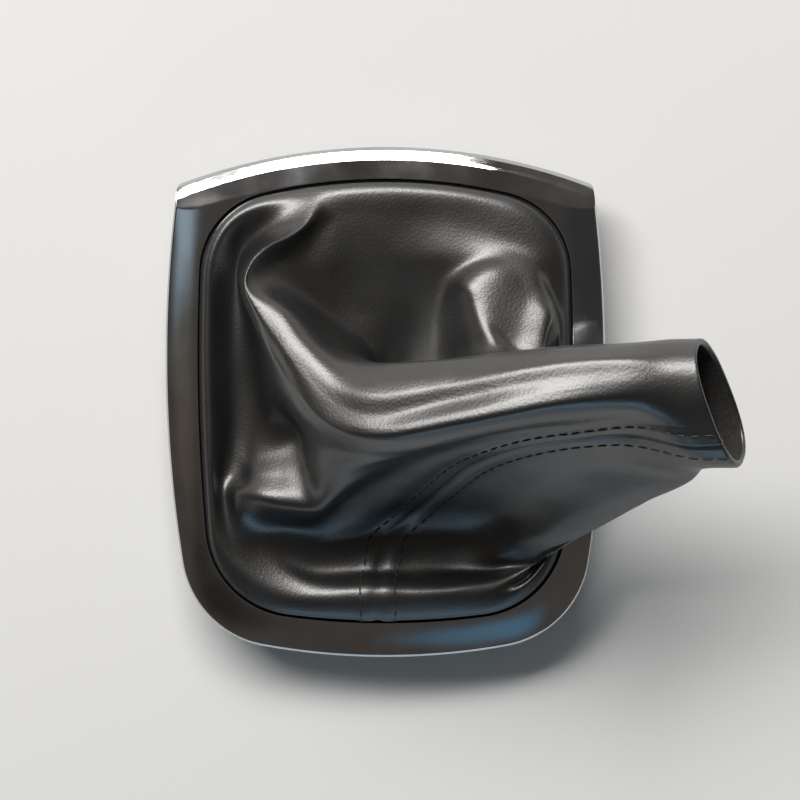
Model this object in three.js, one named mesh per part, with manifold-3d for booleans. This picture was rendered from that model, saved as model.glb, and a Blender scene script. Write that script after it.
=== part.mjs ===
// Gear lever gaiter: a leather sleeve held in a chrome surround, flopped over to one side.
// Millimetres, +Z up. The origin is the middle of the front edge of the surround's seat.
// X runs across the car, +Y towards the pointed corners, and the sleeve's mouth points to +X.
import * as THREE from 'three';
import { mergeVertices } from 'three/addons/utils/BufferGeometryUtils.js';
import Module from 'manifold-3d';

const wasm = await Module();
wasm.setup();

// Surround: outline of the outer edge
const SURROUND_WIDTH = 122.8;
const SURROUND_LENGTH = 143.4;
const ARCH_RISE = 10.5; // how far the arched edge stands beyond the pointed corners
const SIDE_BOW = 3.8; // how far each side bulges between its ends
const CORNER_HALF_WIDTH = 58; // half the distance between the pointed corners
const FRONT_ARC_RADIUS = 190;
const FRONT_CORNER_RADIUS = 28.5;
const POINTED_CORNER_RADIUS = 1.6;

// Surround: section
const SURROUND_HEIGHT = 7.2;
const SURROUND_WALL = 2;
const BAND_FALL = 0.8; // how far the band falls from the opening to its outer edge
const REAR_FALL = 1.5; // the same at the arched edge
const BAND_CROWN = 0.15; // rise of the band's middle above a flat one
const LIP_ROUND = 0.4; // rounding of the edge around the opening
const SIDE_BAND = 9.2; // band width at the sides
const FRONT_BAND = 10.1;
const REAR_BAND = 8.9; // band and slope together at the arched edge
const REAR_SLOPE = 3.2; // width of the sloped face at the arched edge
const SLOPE_DROP = 2.6;
const KNEE_WIDTH = 0.3; // where the slope and the outer rounding bend, as a share of their width
const KNEE_DROP = 0.45; // and of their drop
const EDGE_ROUND = 0.7; // rounding of the outer edge elsewhere
const LIP_DEPTH = 3; // depth of the lip around the opening

// Opening in the surround
const OPENING_REAR_ARC_RADIUS = 150;
const OPENING_FRONT_ARC_RADIUS = 210;
const OPENING_SIDE_ARC_RADIUS = 560;
const OPENING_REAR_CORNER_RADIUS = 23;
const OPENING_FRONT_CORNER_RADIUS = 26;

// Inner frame that the leather is bonded to
const FIT_GAP = 0.3; // clearance between touching pieces
const FRAME_FLANGE = 2;
const FRAME_FLANGE_REACH = 4.2; // how far the flange goes under the surround's band
const FRAME_UPSTAND = 1.2; // thickness of the upstand around the leather
const UPSTAND_HEIGHT = 2.2; // above the flange
const TONGUE_WIDTH = 9;
const TONGUE_THICKNESS = 1.8;
const TONGUE_DROP = 9; // how far the tongues reach below the seat
const BARB = 1.5; // how far the tongues' barbs stand out
const BARB_HEIGHT = 3.2;
const BARB_PEAK = 0.75; // where the barb is widest, as a share of its height
const TONGUE_TIP = 0.6; // thickness of the tongue's tip, as a share of the tongue's
const TONGUE_OFFSET = 0.6; // from the opening's edge, outwards
const TONGUE_ROOT = 0.5; // how far the tongues reach into the flange
const TONGUE_ANGLES = [0, 75, 105, 180, 235, 305]; // degrees around the opening

// Posts of the surround, melted over under the flange
const POST_RADIUS = 1.3;
const POST_HEAD_RADIUS = 2.1;
const POST_HEAD_HEIGHT = 0.9;
const POST_HEAD_TAPER = 0.6; // radius of a head's underside, as a share of its top's
const POST_INSET = 2; // from the opening's edge, outwards
const POST_ROOT = 0.5; // how far the posts reach into the surround's wall
const POST_ANGLES = [20, 62, 118, 160, 212, 248, 292, 328]; // degrees around the opening

// Leather
const LEATHER = 1.1; // thickness
const HEM_DEPTH = 4.2; // length of the hem below the surround's top face
const ROLL_OVERHANG = 0.8; // how far the roll leans out over the hem
const ROLL_START = 1.2; // from the surround's top face, down to where the roll starts to lean
const ROLL_CREST = 3.2; // distance of the roll's crest from the opening's edge
const ROLL_HEIGHT = 3.4; // height of the roll's crest above the surround
const MOUTH_HALF_WIDTH = 18.2; // the round mouth lies a little flattened
const MOUTH_HALF_HEIGHT = 11.9;
const MOUTH_BLUNT = 0.85; // 1 makes the mouth an ellipse, less makes its ends blunter
const MOUTH_HEM = 7; // length of the turned hem at the mouth
const MOUTH_ASIDE = 83.6; // centre of the mouth, towards +X from the surround's centre
const MOUTH_REARWARD = 6; // and towards +Y
const MOUTH_HEIGHT = 59; // and above the seat
const MOUTH_TURN = 17; // degrees that the mouth faces towards +Y
const MOUTH_LIFT = 24; // degrees that the mouth faces upwards
const MOUTH_ROLL = 17; // degrees that its seam side hangs lower
const SLEEVE_TURN = 2; // degrees that the sleeve runs towards +Y
const SLEEVE_LIFT = 8; // degrees that it rises

// Fineness
const AROUND_SURROUND = 144;
const COLUMNS_PER_RIB = 3;
const SKIRT_ROWS = 32;
const POST_SIDES = 12;
const ARC_STEPS = 400; // steps in which a rib's length is measured

const rad = THREE.MathUtils.degToRad;
const topZ = SURROUND_HEIGHT;
const lipZ = topZ - LIP_DEPTH;
const flangeTop = lipZ - FIT_GAP;
const flangeBottom = flangeTop - FRAME_FLANGE;
const upstandTop = flangeTop + UPSTAND_HEIGHT;
const rearY = SURROUND_LENGTH / 2;
const frontY = -SURROUND_LENGTH / 2;
const openingHalfWidth = SURROUND_WIDTH / 2 - SIDE_BAND;
const openingRear = rearY - REAR_BAND;
const openingFront = frontY + FRONT_BAND;
const archRadius = (CORNER_HALF_WIDTH ** 2 + ARCH_RISE ** 2) / (2 * ARCH_RISE);
const sideChord = (SURROUND_LENGTH - ARCH_RISE - FRONT_CORNER_RADIUS) / 2;
const sideRadius = (sideChord ** 2 + SIDE_BOW ** 2) / (2 * SIDE_BOW);
const sideMiddle = rearY - ARCH_RISE - sideChord; // Y of the widest place of the sides

// Where two circles cross, on the side of larger X
function circleCrossing(a, ra, b, rb) {
  const gap = b.distanceTo(a);
  const along = (gap * gap + ra * ra - rb * rb) / (2 * gap);
  const across = Math.sqrt(ra * ra - along * along);
  const unit = b.clone().sub(a).divideScalar(gap);
  const foot = a.clone().addScaledVector(unit, along);
  const one = foot.clone().add(new THREE.Vector2(-unit.y, unit.x).multiplyScalar(across));
  const two = foot.clone().sub(new THREE.Vector2(-unit.y, unit.x).multiplyScalar(across));
  return one.x > two.x ? one : two;
}

// Distance from the centre to a circle around c, in direction u
function reach(c, r, u) {
  const along = c.dot(u);
  return along + Math.sqrt(r * r - c.lengthSq() + along * along);
}

// A closed outline of four arcs with rounded corners, mirrored across the Y axis. It is a function
// that gives the distance from the centre at each angle.
function archedOutline({ rear, front, side, rearCorner, frontCorner }) {
  const arcs = {
    rear: { c: new THREE.Vector2(0, rear.at - rear.radius), r: rear.radius },
    front: { c: new THREE.Vector2(0, front.at + front.radius), r: front.radius },
    side: { c: new THREE.Vector2(side.at - side.radius, sideMiddle), r: side.radius },
  };
  const corners = [];
  for (const [arc, r] of [[arcs.rear, rearCorner], [arcs.front, frontCorner]]) {
    const c = circleCrossing(arc.c, arc.r - r, arcs.side.c, arcs.side.r - r);
    const ends = [arc, arcs.side].map((big) => {
      const out = c.clone().sub(big.c).normalize();
      return c.clone().addScaledVector(out, r).angle();
    });
    const turned = ends.map((a) => (a > Math.PI ? a - 2 * Math.PI : a));
    corners.push({ c, r, from: Math.min(...turned), to: Math.max(...turned) });
  }
  return (angle) => {
    const u = new THREE.Vector2(Math.abs(Math.cos(angle)), Math.sin(angle));
    const mirrored = Math.atan2(u.y, u.x);
    const corner = corners.find((k) => mirrored > k.from && mirrored < k.to);
    if (corner) return reach(corner.c, corner.r, u);
    return Math.min(...Object.values(arcs).map((arc) => reach(arc.c, arc.r, u)));
  };
}

const outerEdge = archedOutline({
  rear: { at: rearY, radius: archRadius },
  front: { at: frontY, radius: FRONT_ARC_RADIUS },
  side: { at: SURROUND_WIDTH / 2, radius: sideRadius },
  rearCorner: POINTED_CORNER_RADIUS,
  frontCorner: FRONT_CORNER_RADIUS,
});
const openingEdge = archedOutline({
  rear: { at: openingRear, radius: OPENING_REAR_ARC_RADIUS },
  front: { at: openingFront, radius: OPENING_FRONT_ARC_RADIUS },
  side: { at: openingHalfWidth, radius: OPENING_SIDE_ARC_RADIUS },
  rearCorner: OPENING_REAR_CORNER_RADIUS,
  frontCorner: OPENING_FRONT_CORNER_RADIUS,
});

// Angles of the pointed corners, between which the rear slope runs
const cornerAngle = Math.atan2(rearY - ARCH_RISE, CORNER_HALF_WIDTH);

function onRay(angle, distance, z) {
  return new THREE.Vector3(Math.cos(angle) * distance, Math.sin(angle) * distance, z);
}

// A closed ring swept from one closed profile per angle
function sweepRing(profiles) {
  const size = profiles[0].length;
  const positions = [];
  const index = [];
  for (const profile of profiles) {
    for (const p of profile) positions.push(p.x, p.y, p.z);
  }
  for (let i = 0; i < profiles.length; i += 1) {
    const next = (i + 1) % profiles.length;
    for (let j = 0; j < size; j += 1) {
      const up = (j + 1) % size;
      const a = i * size + j;
      const b = next * size + j;
      const c = next * size + up;
      const d = i * size + up;
      index.push(a, b, c, a, c, d);
    }
  }
  const geometry = new THREE.BufferGeometry();
  geometry.setAttribute('position', new THREE.Float32BufferAttribute(positions, 3));
  geometry.setIndex(index);
  return geometry;
}

function toSolid(geometry) {
  const bare = geometry.clone();
  bare.deleteAttribute('normal');
  bare.deleteAttribute('uv');
  const merged = mergeVertices(bare, 1e-4);
  const mesh = new wasm.Mesh({
    numProp: 3,
    vertProperties: new Float32Array(merged.attributes.position.array),
    triVerts: new Uint32Array(merged.index.array),
  });
  mesh.merge();
  return new wasm.Manifold(mesh);
}

function toGeometry(solid) {
  const mesh = solid.getMesh();
  const geometry = new THREE.BufferGeometry();
  geometry.setAttribute('position', new THREE.Float32BufferAttribute(mesh.vertProperties, 3));
  geometry.setIndex(new THREE.Uint32BufferAttribute(mesh.triVerts, 1));
  return geometry;
}

function namedMesh(name, geometry, color, roughness, metalness) {
  geometry.computeVertexNormals();
  const mesh = new THREE.Mesh(geometry, new THREE.MeshStandardMaterial({ color, roughness, metalness }));
  mesh.name = name;
  return mesh;
}

const ringAngles = Array.from({ length: AROUND_SURROUND }, (_, i) => (2 * Math.PI * i) / AROUND_SURROUND);
// Two stations move onto the pointed corners, so that they stay sharp
for (const corner of [cornerAngle, Math.PI - cornerAngle]) {
  const nearest = Math.round((corner * AROUND_SURROUND) / (2 * Math.PI));
  ringAngles[nearest] = corner;
}

function surroundProfile(angle) {
  const outer = outerEdge(angle);
  const band = outer - openingEdge(angle);
  const isRear = angle >= cornerAngle && angle <= Math.PI - cornerAngle;
  const slope = isRear ? REAR_SLOPE : EDGE_ROUND;
  const drop = isRear ? SLOPE_DROP : EDGE_ROUND;
  const edgeZ = topZ - (isRear ? REAR_FALL : BAND_FALL);
  const lipStart = band - LIP_ROUND;
  const section = [
    [0, 0],
    [0, edgeZ - drop],
    [slope * KNEE_WIDTH, edgeZ - drop * KNEE_DROP],
    [slope, edgeZ],
    [(slope + lipStart) / 2, (edgeZ + topZ) / 2 + BAND_CROWN],
    [lipStart, topZ],
    [band - LIP_ROUND * KNEE_WIDTH, topZ - LIP_ROUND * KNEE_WIDTH],
    [band, topZ - LIP_ROUND],
    [band, lipZ],
    [band - SURROUND_WALL, lipZ],
    [band - SURROUND_WALL, topZ - SURROUND_WALL],
    [Math.max(slope, SURROUND_WALL), edgeZ - SURROUND_WALL],
    [SURROUND_WALL, edgeZ - SURROUND_WALL - drop / 2],
    [SURROUND_WALL, 0],
  ];
  return section.map(([inward, z]) => onRay(angle, outer - inward, z));
}

// An upright round solid at a post's place, between two heights
function atPost(degrees, bottomRadius, topRadius, bottom, top) {
  const angle = rad(degrees);
  const at = onRay(angle, openingEdge(angle) + POST_INSET, (top + bottom) / 2);
  const round = new THREE.CylinderGeometry(topRadius, bottomRadius, top - bottom, POST_SIDES);
  round.rotateX(Math.PI / 2).translate(at.x, at.y, at.z);
  return toSolid(round);
}

function makeSurround() {
  let solid = toSolid(sweepRing(ringAngles.map(surroundProfile)));
  const postTop = topZ - SURROUND_WALL + POST_ROOT;
  const headTop = flangeBottom - FIT_GAP;
  const headBottom = headTop - POST_HEAD_HEIGHT;
  for (const degrees of POST_ANGLES) {
    solid = solid
      .add(atPost(degrees, POST_RADIUS, POST_RADIUS, headTop, postTop))
      .add(atPost(degrees, POST_HEAD_RADIUS * POST_HEAD_TAPER, POST_HEAD_RADIUS, headBottom, headTop));
  }
  return toGeometry(solid);
}

function frameProfile(angle) {
  const edge = openingEdge(angle);
  const outside = edge + FRAME_FLANGE_REACH;
  const upstandOut = edge - FIT_GAP;
  const upstandIn = upstandOut - FRAME_UPSTAND;
  const section = [
    [outside, flangeBottom],
    [outside, flangeTop],
    [upstandOut, flangeTop],
    [upstandOut, upstandTop],
    [upstandIn, upstandTop],
    [upstandIn, flangeBottom],
  ];
  return section.map(([distance, z]) => onRay(angle, distance, z));
}

function makeTongue(angle) {
  const outline = new THREE.Shape();
  const root = flangeBottom + TONGUE_ROOT;
  const tip = -TONGUE_DROP;
  outline.moveTo(0, root);
  outline.lineTo(0, tip);
  outline.lineTo(TONGUE_THICKNESS * TONGUE_TIP, tip);
  outline.lineTo(TONGUE_THICKNESS + BARB, tip + BARB_HEIGHT * BARB_PEAK);
  outline.lineTo(TONGUE_THICKNESS, tip + BARB_HEIGHT);
  outline.lineTo(TONGUE_THICKNESS, root);
  outline.closePath();
  const tongue = new THREE.ExtrudeGeometry(outline, { depth: TONGUE_WIDTH, bevelEnabled: false });
  tongue.translate(0, 0, -TONGUE_WIDTH / 2);
  tongue.rotateX(Math.PI / 2);
  tongue.rotateZ(angle);
  const at = onRay(angle, openingEdge(angle) + TONGUE_OFFSET, 0);
  tongue.translate(at.x, at.y, 0);
  return toSolid(tongue);
}

function makeFrame() {
  let solid = toSolid(sweepRing(ringAngles.map(frameProfile)));
  for (const degrees of TONGUE_ANGLES) {
    solid = solid.add(makeTongue(rad(degrees)));
  }
  const radius = POST_RADIUS + FIT_GAP;
  const below = flangeBottom - FRAME_FLANGE;
  const above = flangeTop + FRAME_FLANGE;
  for (const degrees of POST_ANGLES) {
    solid = solid.subtract(atPost(degrees, radius, radius, below, above));
  }
  return toGeometry(solid);
}

// Leather ribs: lines of the leather that run from the hem to the mouth, in order round the
// sleeve. Each has its angle at the hem, its angle at the mouth (0 is the top, 90 the side towards
// +Y), how much further in and up the roll's crest is than the plain one, and the points that the
// leather is gathered through. They are drawn for an opening of this size and stretched with it.
const DRAWN_HALF_WIDTH = 52.2;
const DRAWN_HALF_LENGTH = 62.2;
const DRAWN_MOUTH_HEIGHT = 59;

const ribs = [
  { // side under the sleeve
    hem: 2, mouth: 180,
    path: [
      [43.5, 4, 7], [36, 4, 7], [25, 3.5, 10], [20, 3, 18], [30, 3.5, 25.5], [46, 4.5, 32],
      [62, 5, 38.5],
    ],
  },
  { // right side, which climbs beside the broad bright slope
    hem: 19, mouth: 152,
    path: [
      [47.5, 21.5, 14], [45.5, 21.3, 19.5], [43.2, 19, 23.3], [41.8, 15.7, 26], [42.3, 12.7, 30],
      [48, 11.7, 37], [60, 12.5, 43],
    ],
  },
  { // broad slope that climbs to the sleeve
    hem: 32, mouth: 128,
    path: [
      [45.5, 33, 12.5], [42.5, 34, 16.2], [39, 31, 18.8], [36.8, 25.5, 21.4], [35.8, 20, 23.8],
      [35.2, 16.2, 26.8], [35.4, 14.3, 32], [38.7, 14.5, 38.5], [48, 16, 44.5], [60, 17, 50],
    ],
  },
  { // ridge that closes the slope on the left
    hem: 44, mouth: 110,
    path: [
      [43, 41.5, 12.5], [36, 40.5, 15], [28, 38.3, 17.5], [22.8, 34.3, 19], [23.8, 29, 21],
      [25.5, 22.5, 24], [27.5, 16.8, 28.5], [29.5, 15, 37], [34, 16.5, 44], [46, 19, 51],
      [60, 20, 56.5],
    ],
  },
  { // right half of the hollow
    hem: 68, mouth: 95,
    path: [
      [20, 50, 11.5], [16, 42, 12.5], [11.5, 33, 10], [12, 24, 8.5], [13, 16, 8.8], [14.5, 9.5, 10],
      [16, 8, 15], [17.5, 9.5, 28], [22, 14.5, 40], [27, 16.6, 46.5], [44, 19.2, 54.5], [60, 20, 60],
    ],
  },
  { // middle of the hollow
    hem: 88, mouth: 84,
    path: [
      [1, 52, 11], [0, 43, 11], [0, 33, 10], [1, 24, 9.5], [1.5, 16, 9.2], [3, 9.5, 9.8],
      [5.5, 7.5, 14], [7, 8.5, 24], [9.5, 13, 36], [20, 16, 45], [43, 18.8, 57], [60, 19.5, 62],
    ],
  },
  { // left half of the hollow
    hem: 100, mouth: 72,
    path: [
      [-12, 52, 11.5], [-13, 43, 12], [-14, 33, 12], [-12.5, 25, 13], [-9, 18.5, 16.5],
      [-8, 15.5, 24], [-5.5, 14.5, 34], [0, 14.2, 42], [14, 15, 49.5], [42, 17.2, 61], [60, 18, 65.5],
    ],
  },
  { // shoulder of the long crest
    hem: 105, mouth: 60,
    path: [
      [-16, 53.5, 12], [-19, 48.5, 12.5], [-24, 42, 15], [-28.5, 38.5, 19], [-31.5, 35, 23],
      [-32, 31.5, 26.5], [-27.1, 27.8, 31.5], [-21.2, 19.9, 36.7], [-11.6, 10.4, 43.9],
      [-3.2, 7.5, 49.9], [15.5, 9.9, 55.7], [41.4, 15.4, 64.1], [59.7, 16.7, 67.6],
    ],
  },
  { // long crest, which becomes the sleeve's ridge
    hem: 110, mouth: 48,
    path: [
      [-20.2, 54.6, 13], [-21.9, 50.2, 16], [-26.1, 46.9, 19], [-30.1, 45, 22.5], [-33.9, 41.9, 26],
      [-36.3, 38.1, 29], [-36.8, 34.1, 30.5], [-31.2, 25, 34], [-25, 16.6, 39], [-14.2, 5.2, 46],
      [-3.2, 1.5, 52], [16.4, 5.5, 57.8], [42, 11.7, 65.6], [60, 13.8, 68.6],
    ],
  },
  { // left of the long crest
    hem: 130, mouth: 37,
    path: [
      [-39.5, 45.5, 7], [-40, 39, 8], [-38.6, 32, 20], [-33.5, 23.5, 31], [-27.2, 14, 37],
      [-16.3, 1, 45.8], [-3.2, -2, 53.4], [16.5, 2.2, 60], [42, 8.4, 67], [60, 11, 69.6],
    ],
  },
  {
    hem: 158, mouth: 29,
    path: [
      [-42, 21, 6.5], [-37.5, 20, 9], [-33, 17, 20], [-30.5, 13.5, 30], [-25.5, 8, 37.5],
      [-13.5, -2.4, 47], [-2, -4.4, 53.5], [17, -0.4, 60.4], [42.5, 5.8, 67.6], [60, 8.5, 69.9],
    ],
  },
  { // side away from the mouth
    hem: 180, mouth: 21,
    path: [
      [-42, 5, 6], [-35.9, 4.2, 8], [-30, 4, 20], [-26.5, 3.5, 31], [-21, 0, 39.5],
      [-10.5, -5.4, 46.6], [0.5, -6.3, 52], [18, -2.1, 59], [43, 4, 66.4], [60, 6.5, 69.3],
    ],
  },
  { // dark pit between the crest and the small pleat
    hem: 194, mouth: 13,
    path: [
      [-43, -10.5, 6], [-39.5, -13.5, 7], [-36, -14, 9.5], [-30, -11, 11.5], [-24, -7.8, 14],
      [-22.4, -7, 18], [-20.8, -7, 28], [-16.2, -7.6, 37], [-8, -8.6, 43.8], [2.7, -8.4, 49],
      [19, -3.8, 56.3], [43, 2.4, 64.5], [60, 4.8, 67.9],
    ],
  },
  { // bright facet of the small pleat
    hem: 203, mouth: 5,
    path: [
      [-45, -19.5, 6.5], [-40.5, -19.5, 7.5], [-36, -19, 13], [-28, -18, 15.8], [-21.5, -17, 18.8],
      [-18.6, -16.5, 27], [-14.8, -14.2, 33.5], [-8, -12.8, 39], [2.5, -10.4, 44.3],
      [18.5, -5.4, 51.8], [43.5, 0.9, 61.8], [61, 3.2, 65.8],
    ],
  },
  { // edge of the small pleat, then the lower edge of the sleeve's face
    hem: 210, mouth: 0,
    path: [
      [-45, -26, 8], [-41.5, -24, 14], [-34.2, -25, 17.3], [-25.7, -26.3, 20], [-18.5, -26.5, 22.5],
      [-10.9, -19.6, 29], [1.2, -12.3, 37.5], [15, -7.2, 44.5], [33, -2.2, 52.5], [47.5, 0, 58.5],
      [62, 1.5, 63.3],
    ],
  },
  { // hollow under the pleat
    hem: 225, mouth: -6, crestIn: 2,
    path: [
      [-38.5, -41, 8.5], [-35.5, -38, 7], [-29, -35, 6], [-19, -33, 8], [-9.8, -25, 16],
      [2, -16.2, 27], [15, -9.3, 38.5], [33, -3.9, 49.3], [47.5, -1.5, 56], [62, 0, 61.2],
    ],
  },
  {
    hem: 243, mouth: -11, crestIn: 3,
    path: [
      [-23.5, -49.5, 8.5], [-22, -47, 5], [-20.5, -44, 3.8], [-17.9, -40, 3.8], [-9.4, -33.5, 7.2],
      [3.3, -24.4, 16], [15, -13.3, 32], [33, -5.9, 46], [47.8, -3, 53.8], [62, -1.4, 59],
    ],
  },
  { // seam, at the front
    hem: 268, mouth: -17, crestIn: 3.2, crestUp: 0.6,
    path: [
      [-2.3, -51.5, 10.9], [-2, -49.3, 8], [-1.6, -47.5, 4.5], [-0.8, -44, 3.2], [0.5, -38, 3.4],
      [6.7, -31.4, 6.5], [14.6, -22.8, 17], [23.5, -13.8, 30.5], [35, -8, 43], [48, -4.6, 51.5],
      [62.3, -2.9, 57],
    ],
  },
  {
    hem: 286, mouth: -45, crestIn: 3.2, crestUp: 0.6,
    path: [
      [19, -51, 10.9], [19.6, -48.8, 8], [20, -47, 5], [21, -43.5, 4], [23.5, -38, 4.5],
      [29.5, -31.5, 9.5], [37.2, -23.7, 21], [46.8, -16.5, 34], [64, -11, 47.5],
    ],
  },
  { // front flank of the sleeve
    hem: 300, mouth: -72, crestIn: 2.5,
    path: [
      [33.5, -48.5, 9.5], [33.9, -45.5, 6.5], [36.3, -41, 9.5], [42.9, -35.2, 17], [53, -28, 26.3],
      [67, -19.7, 38.3], [78, -14, 47],
    ],
  },
  { // lower edge of the flank
    hem: 312, mouth: -100, crestIn: 1,
    path: [
      [40.3, -47.9, 8], [41.1, -45, 9.5], [48.7, -39, 14.5], [58.9, -31.5, 22.3], [70, -23.2, 32.3],
      [80, -16.2, 42.7],
    ],
  },
  { // fold back under the flank
    hem: 325, mouth: -130,
    path: [
      [45.3, -36.7, 6.5], [39.7, -35, 6.5], [34.5, -32.8, 8.5], [38, -30.1, 12], [49.2, -25.7, 18],
      [66, -17.5, 29.5],
    ],
  },
  {
    hem: 344, mouth: -158,
    path: [
      [43.7, -16, 6], [36.1, -15.4, 6], [27.5, -14.8, 9.5], [26, -12.7, 17], [36.6, -12.2, 22.5],
      [61, -7.5, 34],
    ],
  },
];

function heading(turn, lift) {
  return new THREE.Vector3(
    Math.cos(rad(turn)) * Math.cos(rad(lift)), Math.sin(rad(turn)) * Math.cos(rad(lift)), Math.sin(rad(lift)),
  );
}

const sleeveAxis = heading(SLEEVE_TURN, SLEEVE_LIFT);
const mouthAxis = heading(MOUTH_TURN, MOUTH_LIFT);
const mouthSide = heading(MOUTH_TURN + 90, 0);
const mouthUp = new THREE.Vector3().crossVectors(mouthAxis, mouthSide);
mouthSide.applyAxisAngle(mouthAxis, rad(MOUTH_ROLL));
mouthUp.applyAxisAngle(mouthAxis, rad(MOUTH_ROLL));

const mouthCentre = new THREE.Vector3(MOUTH_ASIDE, MOUTH_REARWARD, MOUTH_HEIGHT);

function blunted(share) {
  return Math.sign(share) * Math.abs(share) ** MOUTH_BLUNT;
}

function onSleeve(degrees, back) {
  const angle = rad(degrees);
  return mouthCentre.clone()
    .addScaledVector(sleeveAxis, -back)
    .addScaledVector(mouthUp, blunted(Math.cos(angle)) * MOUTH_HALF_HEIGHT)
    .addScaledVector(mouthSide, blunted(Math.sin(angle)) * MOUTH_HALF_WIDTH);
}

const hemInset = FIT_GAP * 2 + FRAME_UPSTAND;
const hemBottom = topZ - HEM_DEPTH - LEATHER;
const stretch = new THREE.Vector3(
  openingHalfWidth / DRAWN_HALF_WIDTH,
  (openingRear - openingFront) / 2 / DRAWN_HALF_LENGTH,
  MOUTH_HEIGHT / DRAWN_MOUTH_HEIGHT,
);

function hemPoint(angle, inset, z) {
  return onRay(angle, openingEdge(angle) - inset, z);
}

function ribPoints({ hem, mouth, crestIn = 0, crestUp = 0, path }) {
  const angle = rad(hem);
  return [
    hemPoint(angle, hemInset, hemBottom),
    hemPoint(angle, hemInset, topZ - ROLL_START),
    hemPoint(angle, hemInset - ROLL_OVERHANG, topZ + ROLL_START),
    hemPoint(angle, ROLL_CREST + crestIn, topZ + ROLL_HEIGHT + crestUp),
    ...path.map((point) => new THREE.Vector3(...point).multiply(stretch)),
    onSleeve(mouth, MOUTH_HEM),
    onSleeve(mouth, 0),
  ];
}

// Distances along each rib of the first rows, over the hem and the roll; the others are even
const HEM_ROWS = [0, 3, 5.5, 7.5, 9.5, 12, 15];
const HEM_HOLD = 6; // length of the leather that keeps to the opening's outline
const HEM_FADE = 13; // length over which the leather leaves it

function leatherGrid() {
  const columns = ribs.length * COLUMNS_PER_RIB;
  const rows = [];
  const curves = ribs.map((rib) => new THREE.CatmullRomCurve3(ribPoints(rib), false, 'centripetal'));
  curves.forEach((curve) => {
    curve.arcLengthDivisions = ARC_STEPS;
  });
  const hemLength = HEM_ROWS.at(-1);
  const lengths = curves.map((curve) => curve.getLength());
  for (let row = 0; row < HEM_ROWS.length + SKIRT_ROWS; row += 1) {
    const past = (row - HEM_ROWS.length + 1) / SKIRT_ROWS;
    const knots = curves.map((curve, i) => {
      const along = HEM_ROWS[row] ?? hemLength + (lengths[i] - hemLength) * past;
      return curve.getPointAt(along / lengths[i]);
    });
    const ring = new THREE.CatmullRomCurve3(knots, true, 'centripetal');
    rows.push(Array.from({ length: columns }, (_, k) => ring.getPoint(k / columns)));
  }
  return rows;
}

// Between the ribs the hem is moved out onto the true outline, and the leather with it
function seatHem(rows) {
  const shifts = rows[0].map((p) => hemPoint(Math.atan2(p.y, p.x), hemInset, p.z).sub(p));
  HEM_ROWS.forEach((along, row) => {
    const share = 1 - Math.max(0, along - HEM_HOLD) / HEM_FADE;
    rows[row].forEach((p, k) => p.addScaledVector(shifts[k], share));
  });
}

function gridNormals(rows) {
  const columns = rows[0].length;
  return rows.map((row, j) => row.map((p, k) => {
    const up = rows[Math.min(j + 1, rows.length - 1)][k].clone().sub(rows[Math.max(j - 1, 0)][k]);
    const across = row[(k + 1) % columns].clone().sub(row[(k + columns - 1) % columns]);
    return across.cross(up).normalize();
  }));
}

// Each direction as the mean of its own and its neighbours', so that the inside of a tight fold
// stays open
function softened(normals) {
  const columns = normals[0].length;
  return normals.map((row, j) => row.map((n, k) => {
    const mean = new THREE.Vector3();
    for (const near of [normals[j - 1] ?? row, row, normals[j + 1] ?? row]) {
      mean.add(near[(k + columns - 1) % columns]).add(near[k]).add(near[(k + 1) % columns]);
    }
    return mean.normalize();
  }));
}

function makeLeather() {
  const outer = leatherGrid();
  seatHem(outer);
  const normals = softened(softened(gridNormals(outer)));
  const inner = outer.map((row, j) => row.map((p, k) => p.clone().addScaledVector(normals[j][k], -LEATHER)));
  const columns = outer[0].length;
  const profiles = Array.from({ length: columns }, (_, k) => [
    ...outer.map((row) => row[k]),
    ...inner.map((row) => row[k]).reverse(),
  ]);
  return sweepRing(profiles);
}

const gaiter = new THREE.Group();
gaiter.position.y = -(frontY + SURROUND_WALL / 2);
gaiter.add(
  namedMesh('chrome_surround', makeSurround(), 0xb9bcc0, 0.08, 1),
  namedMesh('retaining_frame', makeFrame(), 0x101112, 0.6, 0),
  namedMesh('leather_gaiter', makeLeather(), 0x1b1b1c, 0.42, 0),
);

const group = new THREE.Group();
group.add(gaiter);

export default group;
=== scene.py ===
"""Gear lever gaiter: a chrome surround, a folded leather sleeve with its seam, and a plain stage.

Metres, +Z up. The origin is the middle of the front edge of the surround's seat, +Y runs towards
the pointed corners and the sleeve's mouth points to +X.
"""

import math

import bpy
import numpy as np
from bpy.props import FloatProperty, FloatVectorProperty, IntProperty, PointerProperty
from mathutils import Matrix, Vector, noise


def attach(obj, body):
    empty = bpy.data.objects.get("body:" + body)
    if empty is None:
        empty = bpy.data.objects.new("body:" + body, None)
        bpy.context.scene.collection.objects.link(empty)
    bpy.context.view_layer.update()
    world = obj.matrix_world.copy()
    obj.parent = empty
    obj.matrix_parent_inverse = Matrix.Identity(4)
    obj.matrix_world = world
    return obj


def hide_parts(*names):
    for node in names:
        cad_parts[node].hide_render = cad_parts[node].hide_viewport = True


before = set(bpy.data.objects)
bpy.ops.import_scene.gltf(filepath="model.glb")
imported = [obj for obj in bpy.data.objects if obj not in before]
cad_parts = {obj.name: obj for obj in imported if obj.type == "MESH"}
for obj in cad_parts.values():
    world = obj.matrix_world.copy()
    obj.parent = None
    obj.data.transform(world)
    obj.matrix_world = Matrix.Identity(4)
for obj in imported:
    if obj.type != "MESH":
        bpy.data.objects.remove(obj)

bl_info = {
    "name": "Gear lever gaiter",
    "version": (1, 0, 0),
    "blender": (4, 5, 0),
    "location": "3D View > Sidebar > Gaiter",
    "description": "Builds the looks of a leather gear lever gaiter in a chrome surround",
    "category": "Add Mesh",
}

MM = 0.001
BODY = "root"


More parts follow.
